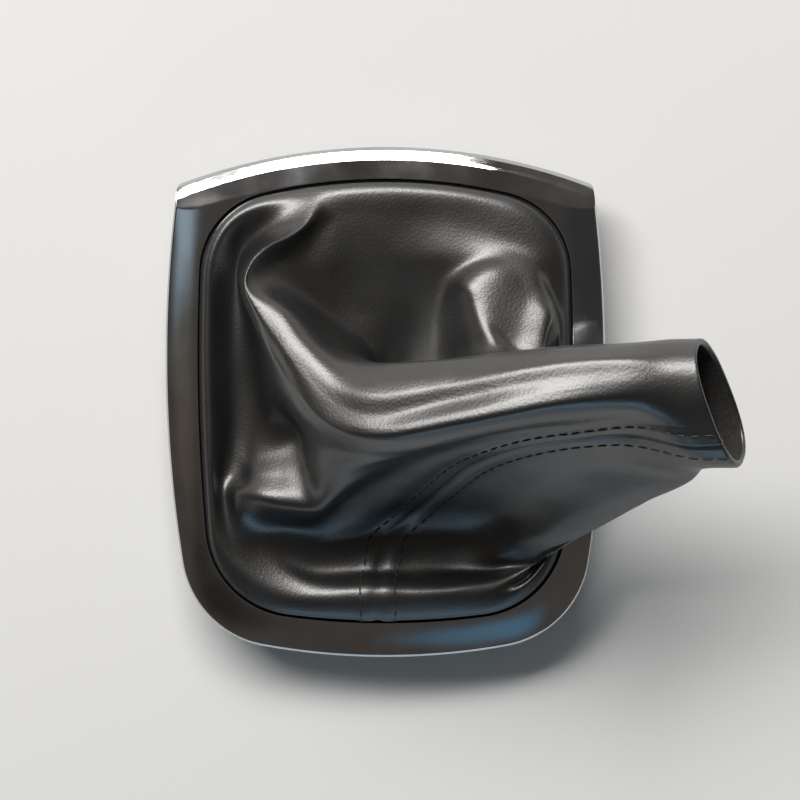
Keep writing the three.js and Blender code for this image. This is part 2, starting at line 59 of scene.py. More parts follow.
def length(name, default, description):
    """A length in metres."""
    return FloatProperty(
        name=name, description=description, default=default, min=0.0, unit="LENGTH", precision=4
    )


def angle(name, default, description):
    """An angle, given in degrees and kept in radians."""
    return FloatProperty(
        name=name, description=description, default=math.radians(default), subtype="ANGLE"
    )


def count(name, default, description):
    """A whole number of at least one."""
    return IntProperty(name=name, description=description, default=default, min=1)


def amount(name, default, description):
    """A plain number of at least nought."""
    return FloatProperty(name=name, description=description, default=default, min=0.0)


def colour(name, default, description):
    """A linear colour."""
    return FloatVectorProperty(
        name=name, description=description, default=default, size=3, subtype="COLOR", min=0, max=1
    )


class SurroundSettings(bpy.types.PropertyGroup):
    """Sizes of the chrome surround and of its opening."""

    width: length("Width", 0.1228, "Across the widest part of the sides")
    depth: length("Length", 0.1434, "From the front edge to the top of the arched edge")
    arch_rise: length("Arch rise", 0.0105, "How far the arched edge stands beyond its corners")
    side_bow: length("Side bow", 0.0038, "How far each side bulges between its ends")
    corner_half_width: length("Corner half width", 0.058, "Half the gap between the corners")
    front_arc: length("Front arc", 0.190, "Radius of the front edge")
    front_corner: length("Front corner", 0.0285, "Radius of the front corners")
    pointed_corner: length("Pointed corner", 0.0016, "Radius of the pointed corners")
    height: length("Height", 0.0072, "From the seat to the lip around the opening")
    wall: length("Wall", 0.002, "Thickness of the shell")
    band_fall: length("Band fall", 0.0008, "How far the band falls towards its outer edge")
    rear_fall: length("Rear fall", 0.0015, "The same at the arched edge")
    band_crown: length("Band crown", 0.00015, "Rise of the band's middle above a flat one")
    lip_round: length("Lip rounding", 0.0004, "Rounding of the edge around the opening")
    side_band: length("Side band", 0.0092, "Width of the band at the sides")
    front_band: length("Front band", 0.0101, "Width of the band at the front")
    rear_band: length("Rear band", 0.0089, "Band and slope together at the arched edge")
    rear_slope: length("Rear slope", 0.0032, "Width of the sloped face at the arched edge")
    slope_drop: length("Slope drop", 0.0026, "How far the sloped face falls")
    edge_round: length("Edge rounding", 0.0007, "Rounding of the outer edge elsewhere")
    lip_depth: length("Lip depth", 0.003, "Depth of the lip around the opening")
    opening_rear_arc: length("Opening rear arc", 0.150, "Radius of the opening's rear edge")
    opening_front_arc: length("Opening front arc", 0.210, "Radius of the opening's front edge")
    opening_side_arc: length("Opening side arc", 0.560, "Radius of the opening's sides")
    opening_rear_corner: length("Opening rear corner", 0.023, "Radius of its rear corners")
    opening_front_corner: length("Opening front corner", 0.026, "Radius of its front corners")
    post_radius: length("Post radius", 0.0013, "Radius of the posts under the band")
    post_head: length("Post head", 0.0021, "Radius of the posts' melted heads")
    post_head_height: length("Head height", 0.0009, "Height of the posts' melted heads")
    post_inset: length("Post inset", 0.002, "From the opening's edge to a post's middle")
    post_bottom: length("Flange underside", 0.0016, "Height at which the posts' heads hold the flange")
    stations: count("Stations", 540, "Sections around the ring")
    band_steps: count("Band steps", 26, "Points across the band")


class LeatherSettings(bpy.types.PropertyGroup):
    """Sizes of the leather and of its seam."""

    thickness: length("Thickness", 0.0011, "Thickness of the leather")
    hem_inset: length("Hem inset", 0.0018, "From the opening's edge to the outside of the hem")
    hem_depth: length("Hem depth", 0.0042, "Length of the hem below the surround's top face")
    roll_start: length("Roll start", 0.0012, "Height above the surround over which the roll begins")
    roll_overhang: length("Roll overhang", 0.0008, "How far the roll leans out over the hem")
    roll_crest: length("Roll crest", 0.0032, "From the opening's edge to the crest of the roll")
    roll_height: length("Roll height", 0.0034, "Height of the roll above the surround")
    mouth_half_width: length("Mouth half width", 0.0172, "Of the flattened round mouth")
    mouth_half_height: length("Mouth half height", 0.0119, "Of the flattened round mouth")
    mouth_hem: length("Mouth hem", 0.007, "Length of the turned hem at the mouth")
    hem_fold: length("Hem fold", 0.0008, "Extra thickness of the turned hem")
    seam_groove: length("Seam groove", 0.0005, "Depth of the seam")
    seam_groove_width: length("Seam groove width", 0.0009, "Width of the seam")
    seam_pad: length("Seam pad", 0.0003, "Rise of the seam allowance beside the seam")
    stitch_offset: length("Stitch offset", 0.0049, "From the seam to each row of stitches")
    waves: length("Waves", 0.0001, "Height of the slight unevenness of the leather")
    columns: count("Columns", 12, "Columns of faces between two ribs")
    rows: count("Rows", 112, "Rows of faces between the roll and the mouth")
    cut_width: length("Cut width", 0.350, "Width of the flat cut at the hem")
    cut_length: length("Cut length", 0.150, "Length of the flat cut from hem to mouth")
    cut_mouth: length("Cut mouth", 0.097, "Width of the flat cut at the mouth")


class ThreadSettings(bpy.types.PropertyGroup):
    """Sizes of the seam's stitches."""

    stitch: length("Stitch length", 0.0027, "Length of one stitch")
    pitch: length("Stitch pitch", 0.0035, "From one stitch to the next")
    thickness: length("Thread thickness", 0.0005, "Thickness of the thread")
    seed: IntProperty(name="Seed", description="Seed of the stitches' slight unevenness", default=4)


class StageSettings(bpy.types.PropertyGroup):
    """The floor, the lights and the camera."""

    floor_height: FloatProperty(
        name="Floor height", description="Height of the floor, at the tongues' tips",
        default=-0.009, unit="LENGTH", precision=4,
    )
    floor_size: length("Floor size", 4.0, "Side of the square floor")
    floor_colour: colour("Floor colour", (0.74, 0.74, 0.74), "Colour of the floor")
    distance: length("Camera distance", 0.5, "From the camera to the surround")
    tilt: angle("Camera tilt", 5.0, "How far the camera leans from straight above")
    field: length("Field", 0.2227, "Width of the view at the surround")
    key_power: amount("Key power", 74.0, "Watts of the key light")
    horizon_power: amount("Horizon power", 3.0, "Watts of the low light behind the part")
    fill_power: amount("Fill power", 1.6, "Watts of the blue fill light")
    world_strength: amount("World strength", 1.0, "Strength of the surroundings")


def circle_crossing(a, ra, b, rb):
    """Where two circles cross, on the side of larger x."""
    gap = np.linalg.norm(b - a)
    along = (gap**2 + ra**2 - rb**2) / (2 * gap)
    across = math.sqrt(ra**2 - along**2)
    unit = (b - a) / gap
    side = np.array([-unit[1], unit[0]]) * across
    return max(a + unit * along + side, a + unit * along - side, key=lambda p: p[0])


def reach(centre, radius, u):
    """Distance from the middle to a circle around centre, in each direction of u."""
    along = u @ centre
    return along + np.sqrt(np.maximum(radius**2 - centre @ centre + along**2, 0))


def arched_outline(rear, rear_radius, front, front_radius, side, side_radius, side_y, corners):
    """A closed outline of four arcs with rounded corners, mirrored across the Y axis.

    It is a function that gives the distance from the middle at each angle."""
    rear_arc = (np.array([0.0, rear - rear_radius]), rear_radius)
    front_arc = (np.array([0.0, front + front_radius]), front_radius)
    side_arc = (np.array([side - side_radius, side_y]), side_radius)
    rounds = []
    for arc, r in zip((rear_arc, front_arc), corners):
        c = circle_crossing(arc[0], arc[1] - r, side_arc[0], side_arc[1] - r)
        ends = []
        for big in (arc, side_arc):
            out = (c - big[0]) / np.linalg.norm(c - big[0])
            ends.append(math.atan2(*(c + out * r)[::-1]))
        rounds.append((c, r, min(ends), max(ends)))

    def distance(angles):
        u = np.stack([np.abs(np.cos(angles)), np.sin(angles)], axis=-1)
        mirrored = np.arctan2(u[..., 1], u[..., 0])
        found = np.min([reach(c, r, u) for c, r in (rear_arc, front_arc, side_arc)], axis=0)
        for c, r, start, end in rounds:
            found = np.where((mirrored > start) & (mirrored < end), reach(c, r, u), found)
        return found

    return distance


def arc_radius(half_chord, rise):
    """Radius of an arc that rises so far over half its chord."""
    return (half_chord**2 + rise**2) / (2 * rise)


def side_half(s):
    """Half the length of the bowed sides."""
    return (s.depth - s.arch_rise - s.front_corner) / 2


def side_middle(s):
    """Y of the widest place of the sides, from the surround's middle."""
    return s.depth / 2 - s.arch_rise - side_half(s)


def outer_edge(s):
    """Outline of the surround's outer edge."""
    return arched_outline(
        s.depth / 2, arc_radius(s.corner_half_width, s.arch_rise),
        -s.depth / 2, s.front_arc,
        s.width / 2, arc_radius(side_half(s), s.side_bow),
        side_middle(s), (s.pointed_corner, s.front_corner),
    )


def opening_edge(s):
    """Outline of the opening in the surround."""
    return arched_outline(
        s.depth / 2 - s.rear_band, s.opening_rear_arc,
        -s.depth / 2 + s.front_band, s.opening_front_arc,
        s.width / 2 - s.side_band, s.opening_side_arc,
        side_middle(s), (s.opening_rear_corner, s.opening_front_corner),
    )


def middle(s):
    """Y of the surround's middle in the row frame."""
    return (s.depth - s.wall) / 2


def on_rays(angles, distance, z):
    """Points at these distances from the middle and at this height."""
    flat = np.broadcast_to(distance, np.shape(angles))
    return np.stack([np.cos(angles) * flat, np.sin(angles) * flat, np.broadcast_to(z, flat.shape)], -1)


# The largest share of a side that the rounding at one of its ends may take.
SIDE_SHARE = 0.49


def rounded(corners, radii, steps):
    """A closed section with each corner rounded by a curve of that many steps."""
    made = []
    points = [np.array(p, float) for p in corners]
    for i, (p, radius) in enumerate(zip(points, radii)):
        back = points[i - 1] - p
        ahead = points[(i + 1) % len(points)] - p
        room = SIDE_SHARE * min(np.linalg.norm(back), np.linalg.norm(ahead))
        back /= np.linalg.norm(back)
        ahead /= np.linalg.norm(ahead)
        half = math.acos(max(-1.0, min(1.0, float(back @ ahead)))) / 2
        cut = min(radius / max(math.tan(half), 1e-6), room)
        start, end = p + back * cut, p + ahead * cut
        for step in range(steps + 1):
            t = step / steps
            made.append(start * (1 - t) ** 2 + p * 2 * t * (1 - t) + end * t**2)
    return np.array(made)


def new_object(name, vertices, faces, materials):
    """A smooth-shaded mesh object at the origin with these materials."""
    mesh = bpy.data.meshes.new(name)
    mesh.from_pydata([tuple(v) for v in vertices], [], faces)
    for material in materials:
        mesh.materials.append(material)
    mesh.polygons.foreach_set("use_smooth", [True] * len(mesh.polygons))
    mesh.update()
    obj = bpy.data.objects.new(name, mesh)
    bpy.context.scene.collection.objects.link(obj)
    return obj


def ring_faces(columns, rows):
    """Quads of a ring of columns, each of which is a closed loop of that many points."""
    faces = []
    for i in range(columns):
        a = i * rows
        b = (i + 1) % columns * rows
        faces += [(a + j, b + j, b + (j + 1) % rows, a + (j + 1) % rows) for j in range(rows)]
    return faces


def turned(profile, x, y, sides, start):
    """Vertices and faces of a closed solid turned about a vertical line through x and y."""
    vertices = []
    for i in range(sides):
        a = 2 * math.pi * i / sides
        vertices += [(x + math.cos(a) * r, y + math.sin(a) * r, z) for r, z in profile]
    rows = len(profile)
    faces = []
    for i in range(sides):
        a, b = start + i * rows, start + (i + 1) % sides * rows
        faces += [(a + j, b + j, b + j + 1, a + j + 1) for j in range(rows - 1)]
    faces.append(tuple(start + i * rows for i in reversed(range(sides))))
    faces.append(tuple(start + i * rows + rows - 1 for i in range(sides)))
    return vertices, faces


# Section of the sloped face at the arched edge: shares of its width, and of its drop that is left.
SLOPE_SECTION = ((0, 1), (0.3, 0.45), (0.85, 0.11))
# Where the flat band begins behind the slope, as a share of the slope's width, and its step up.
BAND_START, BAND_STEP = 1.15, 0.1 * MM


def arch_height(points, s):
    """Greatest height at each point, after its distance from the arched edge."""
    radius = arc_radius(s.corner_half_width, s.arch_rise)
    inward = radius - np.hypot(points[:, 0], points[:, 1] - s.depth / 2 + radius)
    edge_z = s.height - s.rear_fall
    return np.interp(
        inward,
        [*(s.rear_slope * share for share, left in SLOPE_SECTION), s.rear_slope * BAND_START,
         s.rear_band, 2 * s.rear_band],
        [*(edge_z - s.slope_drop * left for share, left in SLOPE_SECTION), edge_z + BAND_STEP,
         s.height, s.height + s.rear_fall],
    )


# Degrees round the opening at which the posts stand.
POST_ANGLES = (20, 62, 118, 160, 212, 248, 292, 328)
POST_SIDES = 20
# A melted head from its foot up: shares of its radius, and of its height below the flange.
HEAD_SECTION = ((0.6, 1), (0.9, 0.8), (1, 0.4), (0.95, 0))
# How far a post reaches into the band, as a share of the wall.
POST_ROOT = 0.25
# Stations that stand close together at each pointed corner, how far they reach to each side, and
# the gap from them to the others.
CORNER_STATIONS, CORNER_SPREAD, CORNER_GAP = 33, math.radians(3), math.radians(0.15)
# Rounding of the surround's hidden edges, and the steps of each rounding.
HIDDEN_ROUND, ROUND_STEPS = 0.3 * MM, 3


def ring_stations(s):
    """Angles of the sections round the ring, closer together at the pointed corners."""
    corner = math.atan2(s.depth / 2 - s.arch_rise, s.corner_half_width)
    near = np.sin(np.linspace(-math.pi / 2, math.pi / 2, CORNER_STATIONS)) * CORNER_SPREAD
    stations = np.linspace(0, 2 * math.pi, s.stations, endpoint=False)
    for at in (corner, math.pi - corner):
        clear = np.abs(stations - at) > CORNER_SPREAD + CORNER_GAP
        stations = np.concatenate([stations[clear], at + near])
    return np.sort(stations)


def make_posts(s, start):
    """Vertices and faces of the posts with their melted heads, numbered from start."""
    vertices, faces = [], []
    for degrees in POST_ANGLES:
        at = math.radians(degrees)
        out = float(opening_edge(s)(np.array([at]))[0]) + s.post_inset
        profile = [
            *((s.post_head * r, s.post_bottom - s.post_head_height * down) for r, down in HEAD_SECTION),
            (s.post_radius, s.post_bottom),
            (s.post_radius, s.height - s.wall * (1 - POST_ROOT)),
        ]
        more, faces_more = turned(
            profile, math.cos(at) * out, math.sin(at) * out, POST_SIDES, start + len(vertices)
        )
        vertices += more
        faces += faces_more
    return vertices, faces


def make_surround(s, material):
    """The chrome surround, finer than the solid that it stands for."""
    stations = ring_stations(s)
    lip_z = s.height - s.lip_depth
    edge_z = s.height - s.band_fall
    vertices = []
    for at, edge, inner in zip(stations, outer_edge(s)(stations), opening_edge(s)(stations)):
        band = edge - inner
        top = [
            (
                s.edge_round + (band - s.edge_round) * share,
                edge_z + s.band_fall * share + 4 * s.band_crown * share * (1 - share),
            )
            for share in np.linspace(0, 1, s.band_steps)
        ]
        corners = [
            (0, 0), (0, edge_z - s.edge_round), *top,
            (band, lip_z), (band - s.wall, lip_z), (band - s.wall, s.height - s.wall),
            (s.rear_slope, edge_z - s.wall), (s.wall, edge_z - s.wall), (s.wall, 0),
        ]
        shown = [s.edge_round] * s.band_steps + [s.lip_round]
        radii = [HIDDEN_ROUND, *shown, *[HIDDEN_ROUND] * (len(corners) - len(shown) - 1)]
        section = rounded(corners, radii, ROUND_STEPS)
        outline = np.stack([np.cos(at) * (edge - section[:, 0]), np.sin(at) * (edge - section[:, 0])], -1)
        skin = np.arange(len(section)) < (ROUND_STEPS + 1) * (len(shown) + 1)
        limit = arch_height(outline, s) - np.where(skin, 0, s.wall)
        height = np.minimum(section[:, 1], np.maximum(limit, 0))
        vertices += [(x, y, z) for (x, y), z in zip(outline, height)]
    posts, post_faces = make_posts(s, len(vertices))
    vertices = np.array(vertices + posts) + [0, middle(s), 0]
    faces = ring_faces(len(stations), len(section)) + post_faces
    return new_object("surround", vertices, faces, [material])


# Leather ribs: lines of the leather that run from the hem to the mouth, in order round the sleeve.
# Each has its angle at the hem, its angle at the mouth (0 is the top, 90 the side towards +Y), how
# much further in and up the roll's crest lies than elsewhere, and the points that the leather is
# gathered through. Angles are in degrees, lengths in millimetres from the surround's middle.
RIBS = (
    # side under the sleeve
    (2, 180, 0, 0, (
        (43.5, 4, 7), (36, 4, 7), (25, 3.5, 10), (20, 3, 18), (30, 3.5, 25.5), (46, 4.5, 32), (62, 5, 38.5),
    )),
    # right side, which climbs beside the broad bright slope
    (21, 152, 0, 0, (
        (47.5, 24, 15.5), (45.5, 25, 19.8), (44, 21.5, 22), (43, 17, 24.2), (43.2, 13.6, 28.5),
        (48, 11.7, 37), (60, 12.5, 43),
    )),
    # broad slope that climbs to the sleeve
    (32, 128, 0, 0, (
        (45.5, 33, 12.5), (42.5, 34, 16.2), (39, 31, 18.8), (36.8, 25.5, 21.3), (35.8, 20, 23.6),
        (35.2, 16.4, 25.5), (35.3, 14, 30.8), (38.7, 14.5, 38.5), (48, 16, 44.5), (60, 17, 50),
    )),
    # ridge that closes the slope on the left
    (44, 110, 0, 0, (
        (43, 41.5, 12.5), (36, 40.5, 15), (28, 38.3, 17.5), (22.8, 34.3, 19), (23.8, 29, 21),
        (25.5, 22.5, 23.8), (27, 17.3, 26.6), (29.2, 14.9, 34), (34, 16.5, 44), (46, 19, 51),
        (60, 20, 56.5),
    )),
    # right half of the hollow
    (68, 95, 0, 0, (
        (20, 50, 11.5), (16, 42, 12.5), (11.5, 33, 10), (12, 24, 8.5), (13, 16, 8.8), (14.5, 9.5, 10),
        (16, 8, 15), (17.5, 9.5, 28), (22, 14.5, 40), (27, 16.6, 46.5), (44, 19.2, 54.5), (60, 20, 60),
    )),
    # middle of the hollow
    (88, 84, 0, 0, (
        (1, 52, 11), (0, 43, 11), (0, 33, 10), (1, 24, 9.5), (1.5, 16, 9.2), (3, 9.5, 9.8), (5.5, 7.5, 14),
        (7, 8.5, 24), (9.5, 13, 36), (20, 16, 45), (43, 18.8, 57), (60, 19.5, 62),
    )),
    # left half of the hollow
    (100, 72, 0, 0, (
        (-12, 52, 11.5), (-13, 43, 12), (-14, 33, 12), (-12.5, 25, 13), (-9, 18.5, 16.5), (-8, 15.5, 24),
        (-5.5, 14.5, 34), (0, 14.2, 42), (14, 15, 49.5), (42, 17.2, 61), (60, 18, 65.5),
    )),
    # shoulder of the long crest
    (105, 60, 0, 0, (
        (-16, 53.5, 12), (-19, 48.5, 12.5), (-24, 42, 15), (-28.5, 38.5, 19.5), (-31.7, 35.3, 24.3),
        (-31.7, 32, 29), (-27.1, 27.8, 33), (-21.2, 19.9, 38.1), (-11.6, 10.4, 45), (-3.2, 7.3, 50.7),
        (15.5, 9.9, 56.3), (41.4, 15.4, 64.1), (59.7, 16.7, 67.3),
    )),
    # long crest, which becomes the sleeve's ridge
    (110, 48, 0, 0, (
        (-20.2, 54.6, 13), (-21.9, 50.2, 16), (-26.1, 46.9, 19), (-30.1, 45, 22.5), (-33.9, 41.9, 26),
        (-36.3, 38.1, 29), (-36.8, 34.1, 30.5), (-31.2, 25, 34), (-25, 16.6, 39), (-14.2, 5.2, 46),
        (-3.2, 1.5, 52), (16.4, 5.5, 57.8), (42, 11.7, 65.6), (60, 13.8, 68.6),
    )),
    # left of the long crest
    (130, 37, 0, 0, (
        (-39.5, 45.5, 7), (-40, 39, 8), (-38.6, 32, 20), (-33.5, 23.5, 31), (-27.2, 14, 37),
        (-16.3, 1, 45.8), (-3.2, -2, 53.4), (16.5, 2.2, 60), (42, 8.4, 67), (60, 11, 69.6),
    )),
    # flank under the long crest
    (158, 29, 0, 0, (
        (-42, 21, 6.5), (-37.5, 20, 9), (-33, 17, 20), (-30.5, 13.5, 30), (-25.5, 8, 37.5),
        (-13.5, -2.4, 47), (-2, -4.4, 53.5), (17, -0.4, 60.4), (42.5, 5.8, 67.6), (60, 8.5, 69.9),
    )),
    # side away from the mouth
    (180, 21, 0, 0, (
        (-42, 5, 6), (-35.9, 4.2, 8), (-30, 4, 20), (-26.5, 3.5, 31), (-21, 0, 39.5), (-10.5, -5.4, 46.6),
        (0.5, -6.3, 52), (18, -2.1, 59), (43, 4, 66.4), (60, 6.5, 69.3),
    )),
    # dark pit between the crest and the small pleat
    (194, 13, 0, 0, (
        (-43, -10.5, 6), (-39.5, -13.5, 7), (-36, -14, 9.5), (-30, -11, 11.5), (-24, -7.8, 14),
        (-22.4, -7, 18), (-20.8, -7, 28), (-16.2, -7.6, 37), (-8, -8.6, 43.8), (2.7, -8.4, 49),
        (19, -3.8, 56.3), (43, 2.4, 64.5), (60, 4.8, 67.9),
    )),
    # bright facet of the small pleat
    (203, 5, 0, 0, (
        (-45, -19.7, 6.5), (-40.5, -19.8, 8.5), (-36, -19, 13), (-28, -18, 15.8), (-21.5, -17, 18.8),
        (-18.6, -16.5, 27), (-14.8, -14.2, 33.5), (-8, -12.8, 39), (2.5, -10.4, 44.3), (18.5, -5.4, 51.8),
        (43.5, 0.9, 61.8), (61, 3.2, 65.8),
    )),
    # edge of the small pleat, then the lower edge of the sleeve's face
    (210, 0, 0, 0, (
        (-45, -26, 8), (-40.7, -24.6, 13), (-34.2, -25, 17.3), (-25.7, -26.3, 20), (-18.5, -26.5, 22.5),
        (-10.9, -19.6, 29), (1.2, -12.3, 37.5), (15, -7.2, 44.5), (33, -2.2, 52.5), (47.5, 0, 58.5),
        (62, 1.5, 63.3),
    )),
    # hollow under the pleat
    (225, -6, 2, 0, (
        (-38.5, -41, 8.5), (-35.5, -38, 7), (-29, -35, 6), (-19, -33, 8), (-9.8, -25, 16), (2, -16.2, 27),
        (15, -9.3, 38.5), (33, -3.9, 49.3), (47.5, -1.5, 56), (62, 0, 61.2),
    )),
    # left part of the front roll
    (243, -11, 3, 0, (
        (-23.5, -49.5, 8.5), (-22, -47, 5), (-20.5, -44, 3.8), (-17.9, -40, 3.8), (-9.4, -33.5, 7.2),
        (3.3, -24.4, 16), (15, -13.3, 32), (33, -5.9, 46), (47.8, -3, 53.8), (62, -1.4, 59),
    )),
    # seam, at the front
    (268, -17, 3.2, 0.6, (
        (-2.3, -51.5, 10.9), (-2, -49.3, 8), (-1.6, -47.5, 4.5), (-0.8, -44, 3.2), (0.5, -38, 3.4),
        (6.7, -31.4, 6.5), (14.6, -22.8, 17), (23.5, -13.8, 30.5), (35, -8, 43), (48, -4.6, 51.5),
        (62.3, -2.9, 57),
    )),
    # right part of the front roll
    (286, -45, 3.2, 0.6, (
        (19, -51, 10.9), (19.6, -48.8, 8), (20, -47, 5), (21, -43.5, 4), (23.5, -38, 4.5),
        (29.5, -31.5, 9.5), (37.2, -23.7, 21), (46.8, -16.5, 34), (64, -11, 47.5),
    )),
    # front flank of the sleeve
    (300, -72, 2.5, 0, (
        (33.5, -48.5, 9.5), (33.9, -45.5, 6.5), (36.3, -41, 9.5), (42.9, -35.2, 17), (53, -28, 26.3),
        (67, -19.7, 38.3), (78, -14, 47),
    )),
    # lower edge of the flank
    (312, -100, 1, 0, (
        (40.3, -47.9, 8), (41.1, -45, 9.5), (48.7, -39, 14.5), (58.9, -31.5, 22.3), (70, -23.2, 32.3),
        (80, -16.2, 42.7),
    )),
    # fold back under the flank
    (325, -130, 0, 0, (
        (45.3, -36.7, 6.5), (39.7, -35, 6.5), (34.5, -32.8, 8.5), (38, -30.1, 12), (49.2, -25.7, 18),
        (66, -17.5, 29.5),
    )),
    # underside, between the fold and the side under the sleeve
    (344, -158, 0, 0, (
        (43.7, -16, 6), (36.1, -15.4, 6), (27.5, -14.8, 9.5), (26, -12.7, 17), (36.6, -12.2, 22.5),
        (61, -7.5, 34),
    )),
)
# The rib that the seam follows.
SEAM_RIB = 17
# Middle of the mouth, its degrees of turn towards +Y, of lift and of roll, and how blunt its oval is.
MOUTH = np.array([83.6, 5.2, 59]) * MM
MOUTH_TURN, MOUTH_LIFT, MOUTH_ROLL = 17, 24, 17
MOUTH_BLUNT = 0.85
# Degrees of turn and lift of the sleeve's last stretch.
SLEEVE_TURN, SLEEVE_LIFT = 2, 8
# Places along the hem and the roll, in millimetres from the hem's edge, and the rows between two.
HEM_ROWS, HEM_STEPS = (0, 3, 5.5, 7.5, 9.5, 12, 15), 4
# How far from its edge the hem keeps to the true opening, and over what length that fades.
HEM_HOLD, HEM_FADE = 6 * MM, 13 * MM
# Samples of each stretch of a rib.
RIB_STEPS = 60
# Unevenness: noise scale and share of each of its two sizes.
WAVE_SIZES = ((90, 1.0), (210, 0.5))
# Where the unevenness starts from the hem's edge, and the length over which it grows.
WAVE_START, WAVE_GROWTH = 8 * MM, 10 * MM
# The seam fades in over this length from the hem's edge.
SEAM_GROWTH = 3 * MM
# Width of the step beside the seam allowance, width of the dent that the stitches pull, and the
# dent's depth as a share of the allowance's rise.
PAD_STEP, DENT_WIDTH, DENT_DEPTH = 1.2 * MM, 0.6 * MM, 0.5
# Length over which the turned hem at the mouth ends, and the rows that it may lie in.
HEM_STEP, MOUTH_ROWS = 0.8 * MM, 30
# Steps of the rounding at the mouth.
MOUTH_STEPS = 6
# Ribs to each side of the seam that the rows of stitches may lie between.
STITCH_RIBS = 2
# How far a stitch's middle stands off the leather, as a share of the thread, and its slight turns.
STITCH_LIFT, STITCH_TURN = 0.15, math.radians(4)
STITCH_SEGMENTS, STITCH_RINGS = 10, 8


def heading(turn, lift):
    """The direction that is turned towards +Y and lifted by these degrees."""
    t, u = math.radians(turn), math.radians(lift)
    return np.array([math.cos(t) * math.cos(u), math.sin(t) * math.cos(u), math.sin(u)])


def on_sleeve(degrees, back, s):
    """A point of the mouth's oval, or of the sleeve behind it."""
    axis = heading(MOUTH_TURN, MOUTH_LIFT)
    side = heading(MOUTH_TURN + 90, 0)
    up = np.cross(axis, side)
    roll = math.radians(MOUTH_ROLL)
    side, up = side * math.cos(roll) + up * math.sin(roll), up * math.cos(roll) - side * math.sin(roll)
    a = math.radians(degrees)
    high, wide = (math.copysign(abs(share) ** MOUTH_BLUNT, share) for share in (math.cos(a), math.sin(a)))
    return (
        MOUTH - heading(SLEEVE_TURN, SLEEVE_LIFT) * back
        + up * high * s.mouth_half_height + side * wide * s.mouth_half_width
    )


def catmull(p0, p1, p2, p3, t):
    """Points at t between p1 and p2 on centripetal curves through these points."""
    gaps = [np.sqrt(np.linalg.norm(b - a, axis=-1, keepdims=True)) for a, b in ((p0, p1), (p1, p2), (p2, p3))]
    d0, d1, d2 = (np.maximum(g, 1e-6) for g in gaps)
    m1 = ((p1 - p0) / d0 - (p2 - p0) / (d0 + d1) + (p2 - p1) / d1) * d1
    m2 = ((p2 - p1) / d1 - (p3 - p1) / (d1 + d2) + (p3 - p2) / d2) * d1
    return (
        p1 + m1 * t + (3 * (p2 - p1) - 2 * m1 - m2) * t**2 + (2 * (p1 - p2) + m1 + m2) * t**3
    )


def rib_points(rib, surround, s):
    """The points of one rib, from the hem to the mouth."""
    degrees, mouth, crest_in, crest_up, path = rib
    at = np.array([math.radians(degrees)])
    edge = opening_edge(surround)(at)
    top = surround.height
    hem = [
        on_rays(at, edge - s.hem_inset, top - s.hem_depth - s.thickness),
        on_rays(at, edge - s.hem_inset, top - s.roll_start),
        on_rays(at, edge - s.hem_inset + s.roll_overhang, top + s.roll_start),
        on_rays(at, edge - s.roll_crest - crest_in * MM, top + s.roll_height + crest_up * MM),
    ]
    return np.array(
        [p[0] for p in hem] + [np.array(p) * MM for p in path]
        + [on_sleeve(mouth, s.mouth_hem, s), on_sleeve(mouth, 0, s)]
    )


def sample_rib(points, alongs):
    """Points of the curve through a rib's points, at each row's distance along it."""
    ends = np.vstack([2 * points[0] - points[1], points, 2 * points[-1] - points[-2]])
    t = (np.arange(RIB_STEPS) / RIB_STEPS)[None, :, None]
    runs = catmull(ends[:-3, None], ends[1:-2, None], ends[2:-1, None], ends[3:, None], t)
    line = np.vstack([runs.reshape(-1, 3), points[-1]])
    travelled = np.concatenate([[0], np.cumsum(np.linalg.norm(np.diff(line, axis=0), axis=1))])
    start = HEM_ROWS[-1] * MM
    stretch = (travelled[-1] - start) / (1 - start)
    wanted = start + (alongs - start) * np.where(alongs <= start, 1, stretch)
    return np.stack([np.interp(wanted, travelled, line[:, i]) for i in range(3)], axis=1)


def leather_rows(s):
    """Distances of the rows: metres from the hem's edge over the roll, then on to one at the mouth."""
    hem = [np.linspace(a, b, HEM_STEPS, endpoint=False) for a, b in zip(HEM_ROWS, HEM_ROWS[1:])]
    return np.concatenate([*hem, np.linspace(HEM_ROWS[-1], 1 / MM, s.rows + 1)]) * MM


def leather_surface(surround, s):
    """The leather's outer face as rows of points, with its normals."""
    alongs = leather_rows(s)
    knots = np.stack([sample_rib(rib_points(rib, surround, s), alongs) for rib in RIBS], axis=1)
    t = (np.arange(s.columns) / s.columns)[None, None, :, None]
    turns = [np.roll(knots, shift, axis=1)[:, :, None] for shift in (1, 0, -1, -2)]
    rows = catmull(*turns, t).reshape(len(alongs), -1, 3)
    around = np.arctan2(rows[0, :, 1], rows[0, :, 0])
    true_hem = on_rays(around, opening_edge(surround)(around) - s.hem_inset, rows[0, :, 2])
    fade = np.clip((HEM_HOLD + HEM_FADE - alongs) / HEM_FADE, 0, 1)
    rows = rows + fade[:, None, None] * (true_hem - rows[0])[None]
    normals = grid_normals(rows)
    rows = rows + normals * relief(rows, alongs, s)[..., None]
    return rows, grid_normals(rows)


def grid_normals(rows):
    """Outward normals of a grid that is closed along each row."""
    up = np.gradient(rows, axis=0)
    across = np.roll(rows, -1, axis=1) - np.roll(rows, 1, axis=1)
    normals = np.cross(across, up)
    return normals / np.maximum(np.linalg.norm(normals, axis=-1, keepdims=True), 1e-12)


